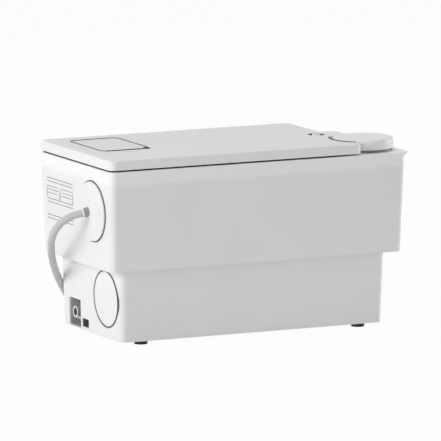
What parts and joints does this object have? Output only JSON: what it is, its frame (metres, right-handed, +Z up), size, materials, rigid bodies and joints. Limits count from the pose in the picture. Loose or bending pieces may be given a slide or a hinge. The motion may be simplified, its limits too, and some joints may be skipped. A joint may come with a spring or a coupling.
{
  "type": "sewage lifting unit",
  "caption": "White two-step lifting tank with lift-off lid, filter flap, capped top discharge socket, plugged side inlet, drain spigot, mains cord and an inner pump with float switch.",
  "frame": {"origin": "centre of the standing unit's footprint, without its cord, on the floor", "axes": "+X along the tank towards the discharge cap, the cable cover and side inlet face -X; the long face seen in the picture faces -Y; +Z up"},
  "size_m": [0.3625, 0.2651, 0.1891],
  "materials": {
    "shell": "satin white moulding with a fine spark-eroded grain",
    "trim": "smooth white moulding",
    "pipe": "mid-grey pipe plastic",
    "inner_plastic": "black glass-filled plastic, dull",
    "box_plastic": "light grey moulding",
    "rubber": "black rubber, dull",
    "cord_sheath": "light grey flexible cord sheath, satin",
    "plug_plastic": "light grey moulded plug, satin",
    "pin_brass": "nickel-plated brass",
    "steel": "stainless steel, turned",
    "lamination": "stacked electrical sheet",
    "winding_copper": "enamelled copper wire",
    "board": "green printed circuit board",
    "capacitor_can": "drawn aluminium can",
    "carbon": "open black carbon foam",
    "housing_metal": "cast aluminium, blasted",
    "lead_sheath": "black flexible cord sheath"
  },
  "bodies": {
    "tank_unit": {"tank": "shell", "cable_cover": "shell", "cable_gland": "trim", "gland_nut": "trim", "drain_spigot": "shell", "lid_gasket": "rubber", "outlet_socket": "pipe", "inlet_seal": "rubber", "control_box": "box_plastic", "box_cover": "box_plastic", "circuit_board": "board", "run_capacitor": "capacitor_can", "pump_relay": "inner_plastic", "suction_strainer": "inner_plastic", "pump_casing": "inner_plastic", "seal_plate": "inner_plastic", "shaft_seal": "rubber", "motor_housing": "housing_metal", "stator": "lamination", "stator_windings": "winding_copper", "shaft_bearings": "steel", "pump_screws": "steel", "check_valve": "pipe", "valve_pin": "steel", "riser_pipe": "pipe", "level_switch": "inner_plastic", "float_pin": "steel", "supply_lead": "cord_sheath", "motor_lead": "lead_sheath", "rubber_feet": "rubber", "mains_cord": "cord_sheath", "cord_coil": "cord_sheath", "cord_tail": "cord_sheath", "mains_plug": "plug_plastic", "plug_pins": "pin_brass"},
    "lid": {"lid": "shell"},
    "lid_screw": {"lid_screw": "trim"},
    "filter": {"filter_flap": "shell", "filter_tray": "box_plastic", "carbon_filter": "carbon"},
    "outlet_cap": {"outlet_cap": "shell"},
    "inlet_plug": {"inlet_plug": "shell"},
    "pump_rotor": {"motor_shaft": "steel", "rotor": "lamination", "impeller": "inner_plastic"},
    "float_lever": {"float_arm": "inner_plastic", "float_body": "inner_plastic"},
    "valve_flap": {"valve_flap": "rubber"}
  },
  "joints": [
    {"name": "lid_lift", "type": "slide", "parent": "tank_unit", "child": "lid", "axis": [0, 0, 1], "range_m": [0, 0.08]},
    {"name": "lid_screw_turn", "type": "hinge", "parent": "lid", "child": "lid_screw", "pos_m": [0.1055, -0.00325, 0.185], "axis": [0, 0, 1], "range_deg": [0, 90]},
    {"name": "filter_lift", "type": "slide", "parent": "lid", "child": "filter", "axis": [0, 0, 1], "range_m": [0, 0.045]},
    {"name": "outlet_cap_lift", "type": "slide", "parent": "tank_unit", "child": "outlet_cap", "axis": [0, 0, 1], "range_m": [0, 0.04]},
    {"name": "inlet_plug_pull", "type": "slide", "parent": "tank_unit", "child": "inlet_plug", "axis": [-1, 0, 0], "range_m": [0, 0.09]},
    {"name": "pump_spin", "type": "hinge", "parent": "tank_unit", "child": "pump_rotor", "pos_m": [0.03725, -0.00975, 0.08], "axis": [0, 0, 1], "continuous": true},
    {"name": "float_swing", "type": "hinge", "parent": "tank_unit", "child": "float_lever", "pos_m": [-0.02475, 0.01975, 0.092], "axis": [0, 1, 0], "range_deg": [0, 50]},
    {"name": "valve_flap_swing", "type": "hinge", "parent": "tank_unit", "child": "valve_flap", "pos_m": [0.1238, -0.04475, 0.1181], "axis": [0, -1, 0], "range_deg": [0, 60]}
  ]
}
